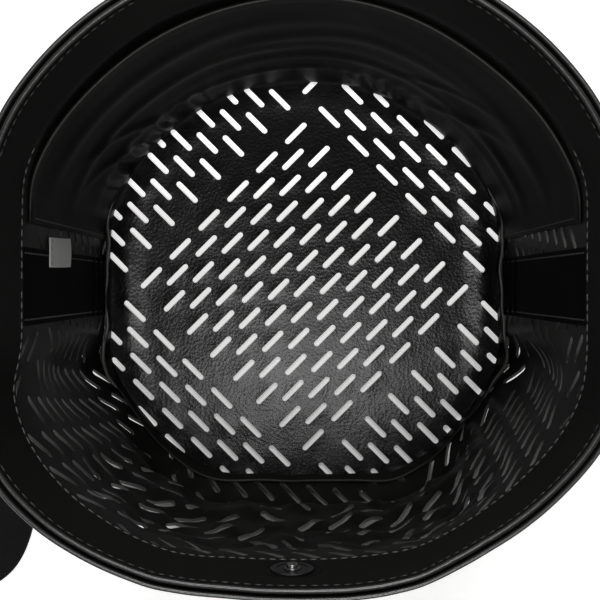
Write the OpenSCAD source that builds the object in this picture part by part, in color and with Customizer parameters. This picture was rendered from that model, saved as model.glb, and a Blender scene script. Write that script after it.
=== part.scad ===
// Perforated leather bucket bag with a webbing shoulder strap.
// Origin at the centre of the base, on the surface that the bag stands on. +Z is up,
// +X is to the bag's right and the front faces -Y.

/* [Body] */
// Radius of the round parts of the wall, inside
body_r = 128; // [118:1:140]
// How far the two flat sides stand inside the round
side_inset = 7; // [2:0.5:14]
// How far the flat front stands inside the round
front_inset = 11; // [4:0.5:15]
// Height of the bag to its rim
bag_h = 220; // [205:1:260]
// Thickness of the wall leather
wall_t = 1.8; // [1.5:0.1:2.6]
// Thickness of the base leather
base_t = 1.8; // [1.4:0.1:3]

/* [Perforation] */
// Length of a slot
slot_l = 17.5; // [12:0.5:19]
// Width of a slot
slot_w = 3.4; // [2:0.2:4.4]
// Pitch of the slots along a row
slot_pitch = 25; // [22:0.5:28]
// Distance between rows
row_pitch = 10; // [8:0.5:11]
// Pitch of the square blocks in which the slant of the slots alternates
block_pitch = 154; // [150:1:175]
// How far left of the front wall's middle its slot pattern is centred
front_slots_left = 12; // [0:1:50]
// How far below the front wall's middle its slot pattern is centred
front_slots_down = 114; // [60:1:154]
// Solid leather between the outermost slots and an edge or seam
slot_margin = 3; // [2:0.5:8]

/* [Base seam] */
// Height of the binding that stands over the seam between base and wall
binding_h = 9; // [6:0.5:14]
// Thickness of the binding
binding_t = 2.6; // [1.6:0.1:4]

/* [Mouth] */
// Depth of the facing inside the mouth
facing_h = 42; // [36:1:55]
// Thickness of the facing
facing_t = 1.6; // [1:0.1:2.2]
// Height of the band outside the mouth
band_h = 26; // [24:1:34]
// Thickness of the band
band_t = 1.6; // [1.2:0.1:2.2]
// Depth of the groove between facing and band, over the wall's edge
groove_d = 1.6; // [0.5:0.1:3]

/* [Side strips] */
// Width of the strips over the side seams
strip_w = 34; // [26:1:40]
// Thickness of the inner strips
inner_strip_t = 1.4; // [1:0.1:2]
// Thickness of the outer strips
outer_strip_t = 1.6; // [1.2:0.1:2.2]

/* [Pocket] */
// Distance of the slip pocket's open top edge below the facing
pocket_drop = 12; // [4:1:60]
// Distance of the pocket's side edges behind the side seams
pocket_edge = 29; // [24:1:38]
// Thickness of the pocket leather
pocket_t = 1.2; // [0.8:0.1:1.6]
// Plain wall leather between the slots behind the pocket and its open top edge
plain_band = 12; // [2:1:40]

/* [Care label] */
// Width of the label
label_w = 14; // [12:1:18]
// Length of the label
label_l = 25; // [20:1:45]
// How far the label reaches past the edge of the inner strip
label_out = 6; // [0:0.5:10]
// Thickness of the doubled satin
label_t = 0.6; // [0.4:0.1:1]
// Distance of the label's sewn top edge below the facing
label_drop = 41; // [30:1:70]
// Lean of the label away from the wall, in degrees
label_lean = 8; // [0:1:20]

/* [Magnetic snap] */
// Diameter of the snap's discs
snap_d = 18; // [14:1:20]
// Thickness of the stud's flange
stud_flange_t = 1; // [0.6:0.1:1.6]
// Thickness of the magnet's case
magnet_t = 3; // [2:0.5:4]
// Diameter of the stud that enters the magnet
stud_d = 5; // [4:0.5:7]
// Height of the stud over its flange
stud_h = 1.8; // [1:0.2:2.6]
// Diameter of the shank through the facing
shank_d = 3.5; // [2.5:0.5:5]
// Diameter of the plates that hold the snap behind the facing
plate_d = 14; // [10:1:16]
// Thickness of those plates
plate_t = 0.8; // [0.5:0.1:1]
// Distance of the snap under the rim
snap_drop = 25; // [16:1:30]
// Distance of the stud to the right of the front's middle
stud_shift = -5; // [-10:0.5:10]

/* [Rings and tabs] */
// Inside diameter of the strap rings
ring_d = 44; // [36:1:48]
// Diameter of the ring wire
ring_wire = 5; // [4:0.5:6]
// Width of the leather loops round the rings
loop_w = 16; // [12:1:18]
// Thickness of the loop leather
loop_t = 1.5; // [1.2:0.1:2]
// Distance of the ring's centre under the rim
ring_drop = 50; // [48:1:56]
// Free space between loop leather and ring wire
loop_play = 0.3; // [0.2:0.05:0.4]

/* [Strap] */
// Width of the strap webbing
strap_w = 40; // [30:1:42]
// Thickness of the webbing
strap_t = 2.6; // [1.6:0.2:3.4]
// Length of the leather that holds each end of the webbing
strap_end_l = 34; // [24:1:40]
// Free leather between the loop and the place where it widens
neck_l = 2; // [1:0.5:6]
// Length over which the strap end widens to the webbing
shoulder_l = 20; // [14:1:26]
// Straight webbing below each strap end
straight_l = 8; // [4:1:12]

/* [Hidden] */
$fn = 96;

PERFORATED = "#171717";
SMOOTH = "#1d1d1e";
SATIN = "#b9bcc0";
STEEL = "#8c8e90";
WEBBING = "#101010";

LEFT = -1;
RIGHT = 1;
over = 1;                                   // how far cutters reach past a face
play = 0.1;                                 // clearance round the plates

// Flat sides and front
side_x = body_r - side_inset;
front_y = body_r - front_inset;

// Heights
wall_top = bag_h - groove_d;
facing_z = bag_h - facing_h;
band_z = bag_h - band_h;
binding_top = base_t + binding_h;
pocket_top = facing_z - pocket_drop;
label_top = facing_z - label_drop;
snap_z = bag_h - snap_drop;
ring_z = bag_h - ring_drop;

// The wall's run from the middle of one panel to a side seam
front_flat = sqrt(body_r * body_r - front_y * front_y);
side_flat = sqrt(body_r * body_r - side_x * side_x);
seam_angle = asin(side_x / body_r);
function start_angle(flat) = asin(flat / body_r);
function arc_run(flat) = body_r * (seam_angle - start_angle(flat)) * PI / 180;
function half_run(flat) = flat + arc_run(flat) + side_flat;

// Slot lattice: square blocks stand on a corner, and rows of five and six slots fill each
block_rows = 7;                             // rows on each side of a block's middle row
wall_slot_z = (binding_top + facing_z) / 2;
slot_reach = slot_w / 2 + slot_margin;      // round a slot's end, what stays solid leather
function slot_ends(p) =
    [for (way = [-1, 1]) [p.x, p.y] + way * (slot_l - slot_w) / 2 * [cos(p.z), sin(p.z)]];

// Every slot of the lattice as [across, up, slant]
function slots(blocks) = [
    for (i = [-blocks : blocks], j = [-blocks : blocks])
        let (slant = (i + j) % 2 == 0 ? 45 : -45,
             middle = [(i + j), (i - j)] * block_pitch / sqrt(2))
            for (row = [-block_rows : block_rows])
                let (odd = abs(row) % 2)
                    for (k = [-2 - odd : 2])
                        let (a = (k + odd / 2) * slot_pitch, b = row * row_pitch)
                            [middle.x + a * cos(slant) - b * sin(slant),
                             middle.y + a * sin(slant) + b * cos(slant), slant]
];

// Outline of the bag, grown outwards from the wall's inner face
module outline(grow = 0, flat_front = true) {
    intersection() {
        circle(r = body_r + grow);
        square([2 * (side_x + grow), 4 * body_r], center = true);
        if (flat_front)
            translate([-2 * body_r, -front_y - grow]) square([4 * body_r, 4 * body_r]);
    }
}

// A skin of the bag between two offsets of its outline and two heights
module skin(inner, outer, low, high) {
    difference() {
        translate([0, 0, low]) linear_extrude(height = high - low) outline(outer);
        translate([0, 0, low - over])
            linear_extrude(height = high - low + 2 * over) outline(inner);
    }
}

// Keeps what lies in front of (-1) or behind (+1) a plane across the bag
module keep(way, y = 0) {
    intersection() {
        children();
        translate([-2 * body_r, way > 0 ? y : y - 4 * body_r, -over])
            cube([4 * body_r, 4 * body_r, bag_h + 2 * over]);
    }
}

// Puts a flat shape on the wall, s along the wall from the panel's middle and z up
module on_wall(s, z, flat) {
    way = sign(s);
    run = abs(s) - flat;
    if (run <= 0)
        translate([s, -sqrt(body_r * body_r - flat * flat), z]) rotate([90, 0, 0]) children();
    else if (run <= arc_run(flat))
        rotate([0, 0, way * (start_angle(flat) + run / body_r * 180 / PI)])
            translate([0, -body_r, z]) rotate([90, 0, 0]) children();
    else
        translate([way * side_x, run - arc_run(flat) - side_flat, z])
            rotate([90, 0, way * 90]) children();
}

module slot_cutter(slant) {
    rotate([0, 0, slant]) linear_extrude(height = 4 * wall_t, center = true) {
        square([slot_l - slot_w, slot_w], center = true);
        for (end = [-1, 1]) translate([end * (slot_l - slot_w) / 2, 0]) circle(d = slot_w);
    }
}

// The outermost slots run a little way under the strips over the side seams. Within
// pocket_run of the panel's middle they end at the height pocket_z.
module wall_slots(flat, shift = [0, 0], pocket_run = 0, pocket_z = bag_h) {
    side = half_run(flat) - strip_w / 2 - slot_margin / 2;
    height = (facing_z - binding_top) / 2 - slot_reach;
    for (q = slots(2)) {
        p = q + [shift.x, shift.y, 0];
        ends = slot_ends(p);
        low = min([for (e = ends) e.y]);
        high = max([for (e = ends) e.y]);
        pocketed = min([for (e = ends) abs(e.x)]) < pocket_run;
        if (abs(p.x) < side && low > -height
                && high < (pocketed ? min(height, pocket_z - wall_slot_z) : height))
            on_wall(p.x, wall_slot_z + p.y, flat) slot_cutter(p.z);
    }
}

module base_panel() {
    color(PERFORATED) difference() {
        linear_extrude(height = base_t) outline();
        edge = binding_t + slot_reach;
        for (p = slots(1))
            if (max([for (e = slot_ends(p)) max(norm(e) - body_r, abs(e.x) - side_x,
                                                -e.y - front_y)]) < -edge)
                translate([p.x, p.y, 0]) slot_cutter(p.z);
    }
}

// The side seams are butted, so each panel ends at the plane y = 0
module front_wall() {
    color(PERFORATED) difference() {
        keep(-1) skin(0, wall_t, 0, wall_top);
        wall_slots(front_flat, [-front_slots_left, -front_slots_down]);
        translate([stud_shift, -front_y, snap_z]) rotate([90, 0, 0])
            cylinder(d = plate_d + 2 * play, h = plate_t + play);
    }
}

module back_wall() {
    color(PERFORATED) difference() {
        keep(1) skin(0, wall_t, 0, wall_top);
        mirror([0, 1, 0])
            wall_slots(0, [0, 0], half_run(0) - pocket_edge,
                       pocket_top - plain_band - slot_reach);
        translate([0, body_r, snap_z]) rotate([-90, 0, 0])
            cylinder(d = plate_d + 2 * play, h = plate_t + play);
    }
}

module base_seam_binding() {
    color(SMOOTH) skin(-binding_t, 0, base_t, binding_top);
}

module front_facing() {
    color(SMOOTH) difference() {
        keep(-1) skin(-facing_t, 0, facing_z, bag_h);
        translate([stud_shift, -front_y - over, snap_z]) rotate([-90, 0, 0])
            cylinder(d = shank_d + 2 * play, h = facing_t + 2 * over);
    }
}

module back_facing() {
    color(SMOOTH) difference() {
        keep(1) skin(-facing_t, 0, facing_z, bag_h);
        translate([0, body_r + over, snap_z]) rotate([90, 0, 0])
            cylinder(d = shank_d + 2 * play, h = facing_t + 2 * over);
    }
}

module front_rim_band() {
    color(SMOOTH) keep(-1) skin(wall_t, wall_t + band_t, band_z, bag_h);
}

module back_rim_band() {
    color(SMOOTH) keep(1) skin(wall_t, wall_t + band_t, band_z, bag_h);
}

// A flat strip over a side seam, between two distances from the middle
module side_strip(side, near, far, low, high) {
    color(SMOOTH) translate([side > 0 ? near : -far, -strip_w / 2, low])
        cube([far - near, strip_w, high - low]);
}

module inner_strip(side) {
    side_strip(side, side_x - inner_strip_t, side_x, binding_top, facing_z);
}

module outer_strip(side) {
    side_strip(side, side_x + wall_t, side_x + wall_t + outer_strip_t, 0, band_z);
}

module slip_pocket_panel() {
    color(SMOOTH) keep(1, pocket_edge) skin(-pocket_t, 0, binding_top, pocket_top);
}

// Sewn by its top edge to the left inner strip, beside the pocket
module care_label() {
    color(SATIN) translate([-side_x + inner_strip_t, strip_w / 2 + label_out - label_w, label_top])
        rotate([0, -label_lean, 0]) translate([0, 0, -label_l]) cube([label_t, label_w, label_l]);
}

// The snap's halves are drawn along +Z, from the face that they sit on
module snap_stud() {
    color(STEEL) translate([stud_shift, -front_y + facing_t, snap_z]) rotate([-90, 0, 0]) {
        cylinder(d = snap_d, h = stud_flange_t);
        cylinder(d = stud_d, h = stud_flange_t + stud_h);
        translate([0, 0, -facing_t]) cylinder(d = shank_d, h = facing_t + stud_flange_t);
    }
}

module snap_stud_plate() {
    color(STEEL) translate([stud_shift, -front_y, snap_z]) rotate([90, 0, 0])
        cylinder(d = plate_d, h = plate_t);
}

// A flat disc rests on the curved facing by its edge
facing_r = body_r - facing_t;
magnet_y = sqrt(facing_r * facing_r - snap_d * snap_d / 4);

module snap_magnet() {
    color(STEEL) translate([0, magnet_y, snap_z]) rotate([90, 0, 0]) {
        difference() {
            cylinder(d = snap_d, h = magnet_t);
            translate([0, 0, magnet_t - stud_h - play])
                cylinder(d = stud_d + 4 * play, h = stud_h + play + over);
        }
        translate([0, 0, magnet_y - body_r]) cylinder(d = shank_d, h = body_r - magnet_y + play);
    }
}

module snap_magnet_plate() {
    color(STEEL) translate([0, body_r, snap_z]) rotate([-90, 0, 0])
        cylinder(d = plate_d, h = plate_t);
}

// Rings stand parallel to the flat sides, clear of the tab's inner layer
ring_r = (ring_d + ring_wire) / 2;
loop_r = ring_wire / 2 + loop_play;
side_face = side_x + wall_t + band_t;
ring_x = side_face + loop_t + loop_r;
// The curved wire sinks by this much towards the ring's centre over half a loop's width
wire_sag = ring_r - sqrt(ring_r * ring_r - loop_w * loop_w / 4);
loop_bend = ring_r - wire_sag;              // from the ring's centre to the loop's bend

module ring(side) {
    color(STEEL) translate([side * ring_x, 0, ring_z]) rotate([0, 90, 0])
        rotate_extrude() translate([ring_r, 0]) circle(d = ring_wire, $fn = 48);
}

// Half a turn of leather under the wire, in the plane across the strap
module loop_turn() {
    difference() {
        circle(r = loop_r + loop_t);
        circle(r = loop_r);
        translate([-2 * loop_r, 0]) square([4 * loop_r, 4 * loop_r]);
    }
}

// The tab hangs from the band: both of its layers are sewn together over the wire
module ring_tab(side) {
    outer = loop_r + loop_t;
    sewn_z = ring_r + loop_r * sqrt(2) + loop_t;    // its slant keeps clear of the wire
    root_z = bag_h - ring_z - 3;
    color(SMOOTH) translate([side * ring_x, 0, ring_z]) rotate([90, 0, side > 0 ? 0 : 180])
        linear_extrude(height = loop_w, center = true) {
            translate([0, loop_bend]) loop_turn();
            translate([-outer, loop_bend]) square([loop_t, root_z - loop_bend]);
            polygon([
                [loop_r, loop_bend], [outer, loop_bend], [outer, sewn_z - loop_r],
                [-loop_r + loop_t, sewn_z + loop_r], [-loop_r + loop_t, root_z],
                [-loop_r, root_z], [-loop_r, sewn_z + loop_r - loop_t],
                [loop_r, sewn_z - loop_r - loop_t]
            ]);
        }
}

// Each strap end loops round the foot of its ring, widens and holds the webbing between
// two layers
neck_z = ring_r + ring_wire + neck_l;       // below the ring's centre, where the layers meet
shoulder_z = neck_z + shoulder_l;           // where the leather is as wide as the webbing
webbing_top = ring_z - shoulder_z;
strap_end_z = webbing_top - strap_end_l;

module strap_end(side) {
    outer = loop_r + loop_t;
    lap = strap_t / 2 + loop_t;
    color(SMOOTH) translate([side * ring_x, 0, ring_z]) {
        rotate([90, 0, 0]) linear_extrude(height = loop_w, center = true) {
            translate([0, -loop_bend]) rotate([0, 0, 180]) loop_turn();
            for (way = [0, 1]) mirror([way, 0])
                polygon([
                    [loop_r, -loop_bend], [outer, -loop_bend], [outer, -ring_r],
                    [lap, -neck_z], [0, -neck_z], [0, -neck_z + loop_t],
                    [loop_r, -ring_r - loop_r]
                ]);
        }
        rotate([90, 0, 90]) linear_extrude(height = 2 * lap, center = true)
            polygon([
                [-loop_w / 2, -neck_z], [loop_w / 2, -neck_z],
                [strap_w / 2, -shoulder_z], [-strap_w / 2, -shoulder_z]
            ]);
        for (way = [-1, 1])
            translate([way * (strap_t + loop_t) / 2, 0, -shoulder_z - strap_end_l / 2])
                cube([loop_t, strap_w, strap_end_l], center = true);
    }
}

// The strap's route from the left ring to the right: the point that its middle passes
// through, and the way that its width lies there. It hangs straight below each ring.
function straight_end(side, heights) =
    [for (z = heights) [[side * ring_x, 0, z], [0, 1, 0]]];
end_heights = [webbing_top, webbing_top - strap_end_l / 2, strap_end_z, strap_end_z - straight_l];

// Between its ends it comes down beside the bag, turns out once on the left, and lies round
// the front. Points are in shares of the rings' distance from the middle, and of the height
// of the strap ends.
strap_lie = [
    [[-1.047, -0.054, 0.716], [-0.2, 1, 0]],
    [[-1.148, -0.194, 0.45], [-0.5, 0.8, 0]],
    [[-1.280, -0.404, 0.201], [-0.85, 0.4, 0]],
    [[-1.389, -0.668, 0.036], [-1, 0.1, 0]],
    [[-1.437, -0.917, 0], [-1, 0, 0]],
    [[-1.437, -1.088, 0], [-1, 0, 0]],
    [[-1.507, -1.251, 0], [-0.7, 0.7, 0]],
    [[-1.671, -1.321, 0], [0, 1, 0.05]],
    [[-1.849, -1.329, 0], [0, 1, 0.35]],
    [[-1.989, -1.375, 0], [0.3, 0.7, 1.2]],
    [[-2.059, -1.507, 0], [0, 0, 1]],
    [[-1.989, -1.639, 0], [0, 0, 1]],
    [[-1.849, -1.702, 0], [0, -0.7, 1.2]],
    [[-1.663, -1.717, 0], [0, -1, 0.35]],
    [[-1.437, -1.709, 0], [0, -1, 0]],
    [[-0.932, -1.725, 0], [0, -1, 0]],
    [[-0.311, -1.756, 0], [0, -1, 0]],
    [[0.311, -1.779, 0], [0, -1, 0]],
    [[0.901, -1.803, 0], [0.05, -1, 0]],
    [[1.368, -1.725, 0], [0.5, -0.9, 0]],
    [[1.663, -1.476, 0], [0.9, -0.5, 0]],
    [[1.733, -1.127, 0], [1, -0.1, 0]],
    [[1.655, -0.761, 0], [1, 0.2, 0]],
    [[1.476, -0.451, 0.142], [0.8, 0.5, 0]],
    [[1.228, -0.210, 0.450], [0.5, 0.8, 0]],
    [[1.047, -0.054, 0.716], [0.2, 1, 0]]
];
strap_route = concat(
    straight_end(LEFT, end_heights),
    [for (p = strap_lie)
        [[p[0].x * ring_x, p[0].y * ring_x, p[0].z * strap_end_z], p[1]]],
    straight_end(RIGHT, [for (i = [3 : -1 : 0]) end_heights[i]]));
strap_steps = 3;                            // cross-sections to each stretch of the route

function unit(v) = v / norm(v);
// A smooth curve through b and c, as part k of its stretch
function through(a, b, c, d, k) =
    0.5 * (2 * b + (c - a) * k + (2 * a - 5 * b + 4 * c - d) * k * k
           + (3 * b - a - 3 * c + d) * k * k * k);
function clamped(i) = max(0, min(len(strap_route) - 1, i));
function route_at(part, i, k) =
    through(strap_route[clamped(i - 1)][part], strap_route[i][part],
            strap_route[clamped(i + 1)][part], strap_route[clamped(i + 2)][part], k);
route_marks = concat(
    [for (i = [0 : len(strap_route) - 2], k = [0 : strap_steps - 1]) [i, k / strap_steps]],
    [[len(strap_route) - 2, 1]]);
route_points = [for (m = route_marks) route_at(0, m.x, m.y)];
last_mark = len(route_marks) - 1;
// The four corners of each cross-section, lifted where they would reach under the floor
strap_corners = [
    for (i = [0 : last_mark])
        let (ahead = unit(route_points[min(last_mark, i + 1)] - route_points[max(0, i - 1)]),
             hint = route_at(1, route_marks[i].x, route_marks[i].y),
             across = unit(hint - (hint * ahead) * ahead),
             face = cross(ahead, across),
             w = across * strap_w / 2,
             t = face * strap_t / 2,
             lift = max(0, abs(w.z) + abs(t.z) - route_points[i].z),
             p = route_points[i] + [0, 0, lift])
            each [p + w + t, p - w + t, p - w - t, p + w - t]
];

module strap_webbing() {
    sides = [
        for (i = [0 : last_mark - 1], k = [0 : 3])
            let (a = 4 * i + k, b = 4 * i + (k + 1) % 4)
                each [[a, a + 4, b], [b, a + 4, b + 4]]
    ];
    ends = [[0, 1, 2], [0, 2, 3],
            [4 * last_mark + 2, 4 * last_mark + 1, 4 * last_mark],
            [4 * last_mark + 3, 4 * last_mark + 2, 4 * last_mark]];
    color(WEBBING) polyhedron(points = strap_corners, faces = concat(sides, ends), convexity = 8);
}

base_panel();
front_wall();
back_wall();
base_seam_binding();
front_facing();
back_facing();
front_rim_band();
back_rim_band();
inner_strip(LEFT);  // left_inner_strip
inner_strip(RIGHT);  // right_inner_strip
outer_strip(LEFT);  // left_outer_strip
outer_strip(RIGHT);  // right_outer_strip
slip_pocket_panel();
care_label();
snap_stud();
snap_stud_plate();
snap_magnet();
snap_magnet_plate();
ring_tab(LEFT);  // left_ring_tab
ring_tab(RIGHT);  // right_ring_tab
ring(LEFT);  // left_ring
ring(RIGHT);  // right_ring
strap_end(LEFT);  // left_strap_end
strap_end(RIGHT);  // right_strap_end
strap_webbing();
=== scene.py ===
import math
import random
from math import cos, pi, sin, sqrt

import bpy
import numpy as np
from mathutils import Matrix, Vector
from mathutils.geometry import delaunay_2d_cdt

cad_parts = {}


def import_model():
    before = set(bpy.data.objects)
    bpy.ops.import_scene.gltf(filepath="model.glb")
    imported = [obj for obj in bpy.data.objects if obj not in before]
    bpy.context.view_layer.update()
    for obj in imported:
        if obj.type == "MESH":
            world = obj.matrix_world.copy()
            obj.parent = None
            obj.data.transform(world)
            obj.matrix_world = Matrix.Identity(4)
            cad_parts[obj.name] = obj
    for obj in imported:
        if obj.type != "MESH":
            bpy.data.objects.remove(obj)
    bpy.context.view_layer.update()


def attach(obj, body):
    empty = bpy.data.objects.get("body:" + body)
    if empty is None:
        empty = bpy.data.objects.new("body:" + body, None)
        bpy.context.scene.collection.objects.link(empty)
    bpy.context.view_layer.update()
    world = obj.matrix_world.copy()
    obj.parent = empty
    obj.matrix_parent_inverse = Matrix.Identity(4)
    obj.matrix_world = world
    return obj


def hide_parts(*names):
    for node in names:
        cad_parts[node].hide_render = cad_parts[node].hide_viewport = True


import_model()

# A perforated leather bucket bag, photographed from straight above into its open mouth.
# Lengths are in millimetres up to the point where a mesh is made; the CAD's values keep
# their names. The skin of the bag is described by a run u along its outline, a height z
# and an offset h outwards from the wall's inner face, and every sewn part is laid on it.

MM = 0.001

# ------------ values shared with the CAD
BODY_R, SIDE_X, FRONT_Y, BAG_H = 128, 121, 117, 220
WALL_T, BASE_T = 1.8, 1.8
SLOT_L, SLOT_W, SLOT_PITCH, ROW_PITCH, BLOCK_PITCH = 17.5, 3.4, 25, 10, 154
BLOCK_ROWS = 7
FRONT_SLOTS_LEFT, FRONT_SLOTS_DOWN = 12, 114
BINDING_H = 9
FACING_H, FACING_T, BAND_H, BAND_T, GROOVE_D = 42, 1.6, 26, 1.6, 1.6
STRIP_W, INNER_STRIP_T, OUTER_STRIP_T = 34, 1.4, 1.6
POCKET_DROP, POCKET_EDGE, POCKET_T, PLAIN_BAND = 12, 29, 1.2, 12
WALL_TOP = BAG_H - GROOVE_D
FACING_Z = BAG_H - FACING_H
BAND_Z = BAG_H - BAND_H
BINDING_TOP = BASE_T + BINDING_H
POCKET_TOP = FACING_Z - POCKET_DROP
WALL_SLOT_Z = (BINDING_TOP + FACING_Z) / 2

LABEL_W, LABEL_L, LABEL_T, LABEL_DROP, LABEL_LEAN, LABEL_OUT = 14, 25, 0.6, 41, 8, 6
LABEL_TOP = FACING_Z - LABEL_DROP
SNAP_D, SNAP_DROP, STUD_FLANGE_T, MAGNET_T, STUD_D, STUD_H, STUD_SHIFT = 18, 25, 1, 3, 5, 1.8, -5
SNAP_Z = BAG_H - SNAP_DROP
RING_D, RING_WIRE, RING_DROP, LOOP_W, LOOP_T, LOOP_PLAY = 44, 5, 50, 16, 1.5, 0.3
STRAP_W, STRAP_T, STRAP_END_L, NECK_L, SHOULDER_L, STRAIGHT_L = 40, 2.6, 34, 2, 20, 8
RING_Z = BAG_H - RING_DROP
RING_R = (RING_D + RING_WIRE) / 2
LOOP_R = RING_WIRE / 2 + LOOP_PLAY
LOOP_MID = LOOP_R + LOOP_T / 2
RING_X = SIDE_X + WALL_T + BAND_T + LOOP_T + LOOP_R
LOOP_BEND = sqrt(RING_R ** 2 - LOOP_W ** 2 / 4)
NECK_Z = RING_R + RING_WIRE + NECK_L
SHOULDER_Z = NECK_Z + SHOULDER_L
WEBBING_TOP = RING_Z - SHOULDER_Z
STRAP_END_Z = WEBBING_TOP - STRAP_END_L

# ------------ values of this scene alone
GLUE = 0.02                # the gap between pieces that lie on each other
STAND_OFF = 5.6            # how far the stiff strap ends keep off the swaying rim
SHEET_STEP = 4.5           # the spacing of a perforated sheet's points
SEAM_IN = 2                # how far from its ends a facing's or band's seam begins
AMBIENT = 0.05             # the strength of the studio's own light
EDGES = (("a", -1), ("b", 1))      # both edges or faces of a strip, as its seams are named

# ------------ the photograph's camera
CAMERA_Z = 0.579           # metres over the table, looking straight down
FOCAL_PX, FRAME_PX = 944, 600
NADIR_PX = (304.5, 286.5)  # the pixel that shows the point below the camera
SENSOR_MM = 36


# ------------ numbers
def smooth(a, b, x):
    """A smooth step, from 0 at a to 1 at b."""
    k = np.clip((x - a) / (b - a), 0, 1)
    return k * k * (3 - 2 * k)


def bump(x, middle, width):
    """A bell curve, 1 high at its middle."""
    return np.exp(-((x - middle) / width) ** 2)


def unit(vectors):
    """Vectors along the last axis, brought to length 1."""
    return vectors / np.linalg.norm(vectors, axis=-1, keepdims=True)


def distance_along(line):
    """How far each point of a line is from its first, measured along it."""
    return np.concatenate([[0], np.cumsum(np.linalg.norm(np.diff(line, axis=0), axis=1))])


def turn(n):
    """n angles round a full circle."""
    return np.linspace(0, 2 * pi, n, endpoint=False)


def half_turn(n):
    """n angles from -90 to 90 degrees."""
    return np.linspace(-pi / 2, pi / 2, n)


# ------------ the skin of the bag
def outline_radius(theta):
    """Distance from the axis to the wall's inner face, its corners slightly rounded."""
    sharp = 70
    total = (BODY_R ** -float(sharp) + (np.abs(np.cos(theta)) / SIDE_X) ** sharp
             + (np.clip(-np.sin(theta), 0, 1) / FRONT_Y) ** sharp)
    return total ** (-1 / sharp)


OUTLINE_THETA = np.linspace(-pi / 2, 1.5 * pi, 7201)
OUTLINE_XY = outline_radius(OUTLINE_THETA)[:, None] * np.stack(
    [np.cos(OUTLINE_THETA), np.sin(OUTLINE_THETA)], 1)
OUTLINE_U = distance_along(OUTLINE_XY)
PERIMETER = OUTLINE_U[-1]
OUTLINE_WAY = unit(np.gradient(OUTLINE_XY, axis=0))
OUTLINE_N = np.stack([OUTLINE_WAY[:, 1], -OUTLINE_WAY[:, 0]], 1)


def run_at(degrees):
    """Run along the outline at an angle round the axis; 0 is +X and -90 the front."""
    return float(np.interp(math.radians(degrees), OUTLINE_THETA, OUTLINE_U))


RIGHT_U, BACK_U, LEFT_U = run_at(0), run_at(90), run_at(180)
FRONT_LEFT_U = LEFT_U - PERIMETER        # the left side seam, as the front's run begins there

# How far the soft rim sways outwards at each angle in degrees; RIM is the same, smoothed
RIM_SWAY = np.array([
    (-180, 0), (-170, 3), (-160, 8), (-152, 10), (-145, 9.2), (-137, 6.6), (-131, 3.8),
    (-127, 2.0), (-121, -0.7), (-114, -3.0), (-105, -1.6), (-98, -0.3), (-90, 0), (-82, -0.4),
    (-76, -1.9), (-70, -4.8), (-66, -7.6), (-62, -8.6), (-55, -8.2), (-48.5, -6.7),
    (-39, -4.5), (-30, -2.0), (-20, -0.5), (-12, 0), (12, 0), (34, 1.4), (54, 0.9), (80, 0.3),
    (90, 0), (100, 0.3), (125, 1.6), (149, 2.4), (168, 0), (180, 0)], float)
DEGREES = np.linspace(-180, 180, 721)
KERNEL = bump(np.linspace(-2, 2, 15), 0, 1)
RIM = np.convolve(np.pad(np.interp(DEGREES, RIM_SWAY[:, 0], RIM_SWAY[:, 1]), 7, mode="wrap"),
                  KERNEL / KERNEL.sum(), "valid")


def slump(degrees, theta, z):
    """How the soft front sags outwards: a shelf at its foot, a crease above it, and crumples.

    Each smooth step is between two angles in degrees or two heights."""
    in_front = smooth(-172, -164, degrees) * (1 - smooth(-17, -9, degrees))
    middle = smooth(-150, -122, degrees) * (1 - smooth(-60, -36, degrees))
    shelf = (12.5 * smooth(1, 22, z) - 8.2 * smooth(27, 54, z) + 5 * smooth(60, 96, z)
             - 9.3 * smooth(116, 172, z))
    beside = np.minimum(np.abs(degrees + 161), np.abs(degrees + 19))
    corners = (4 + 7 * bump(beside, 0, 11)) * (smooth(5, 38, z) - smooth(62, 172, z))
    corners += 4 * bump(beside, 0, 9) * smooth(0, 6, z) * (1 - smooth(16, 40, z))
    crumple = 2.3 * np.sin(15 * theta + 0.15 * z + 1) * np.sin(8 * theta - 0.11 * z + 2)
    crumple += 1.1 * np.sin(27 * theta - 0.21 * z) * np.sin(0.17 * z + 4 * theta)
    crumple *= smooth(24, 48, z) * (1 - smooth(138, 166, z))
    return in_front * (middle * shelf + (1 - middle) * corners + crumple * (0.15 + 0.85 * middle))


def sway(theta, z):
    """Outward displacement of the soft leather, none at the side strips and the snap."""
    degrees = np.degrees((theta + pi) % (2 * pi) - pi)
    off_side = smooth(8.5, 21, np.minimum(np.abs(degrees), 180 - np.abs(degrees)))
    k = z / BAG_H
    rim = np.interp(degrees, DEGREES, RIM) * np.clip(k, 0, 1.1) ** 1.6
    belly = np.sin(pi * np.clip(k, 0, 1))
    waves = (0.9 * np.sin(3 * theta + 0.6 + 1.3 * k) + 0.7 * np.sin(5 * theta + 2.1 - 2.4 * k)
             + 0.35 * np.sin(11 * theta + 5 * k) * np.sin(2 * pi * k + theta)) * belly
    at_snap = bump(np.abs(degrees), 90, 9) * bump(z, SNAP_Z, 22)
    return off_side * (rim + waves * (1 - at_snap) + slump(degrees, theta, z))


def skin(u, z, h):
    """Points in millimetres at a run u along the outline, a height z and an offset h."""
    u, z, h = np.broadcast_arrays(*(np.asarray(v, float) for v in (u, z, h)))
    w = u % PERIMETER
    theta = np.interp(w, OUTLINE_U, OUTLINE_THETA)
    x, y = (np.interp(w, OUTLINE_U, OUTLINE_XY[:, i]) for i in (0, 1))
    nx, ny = (np.interp(w, OUTLINE_U, OUTLINE_N[:, i]) for i in (0, 1))
    out = h + sway(theta, z)
    return np.stack([x + nx * out, y + ny * out, z], -1)


# ------------ meshes
def in_scene(name, data):
    """A new object in the scene, with a mesh, a camera or a lamp as its data."""
    thing = bpy.data.objects.new(name, data)
    bpy.context.scene.collection.objects.link(thing)
    return thing


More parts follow.
